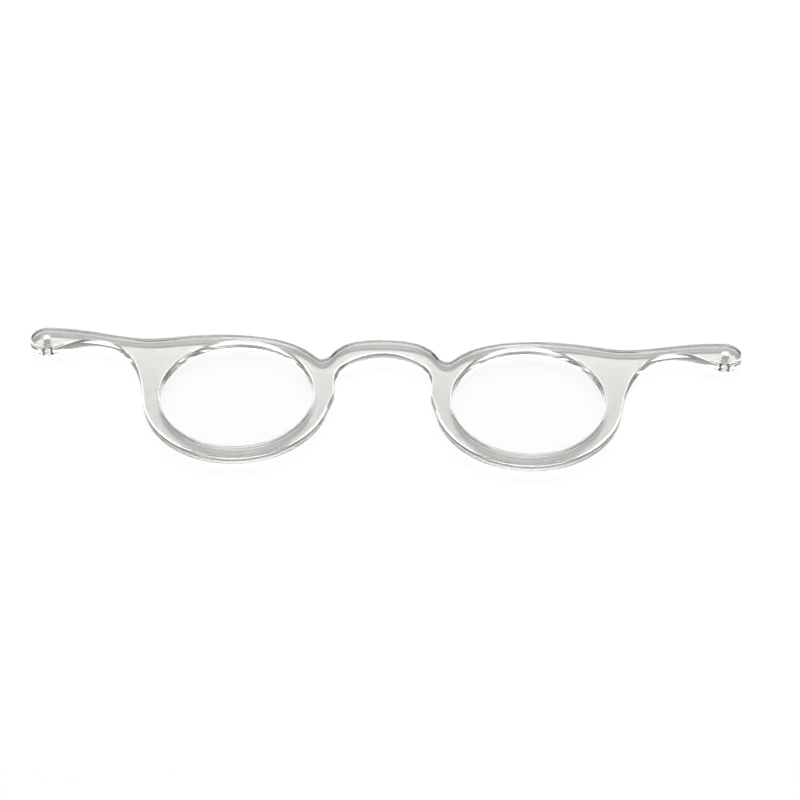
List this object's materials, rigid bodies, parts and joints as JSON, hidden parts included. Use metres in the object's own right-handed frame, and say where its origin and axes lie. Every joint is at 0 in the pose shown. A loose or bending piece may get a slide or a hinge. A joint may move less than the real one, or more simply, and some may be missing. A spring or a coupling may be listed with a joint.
{
  "type": "pince-nez",
  "caption": "Clear one-piece pince-nez: round lenses in a flat acrylic front, a saddle bridge, and swept arms whose lobed ends are drilled for a cord.",
  "frame": {"origin": "midway between the lens centres, on the back face that the part lies on; the wearer's nose passes through it", "axes": "+X across the face to the right as seen from the front, +Y up the brow, +Z out of the front"},
  "size_m": [0.1592, 0.0407, 0.0025],
  "materials": {
    "clear_acrylic": "clear cast acrylic with tumbled, polished edges",
    "lens": "clear, polished"
  },
  "bodies": {
    "root": {"frame": "clear_acrylic", "lens_left": "lens", "lens_right": "lens"}
  },
  "joints": []
}
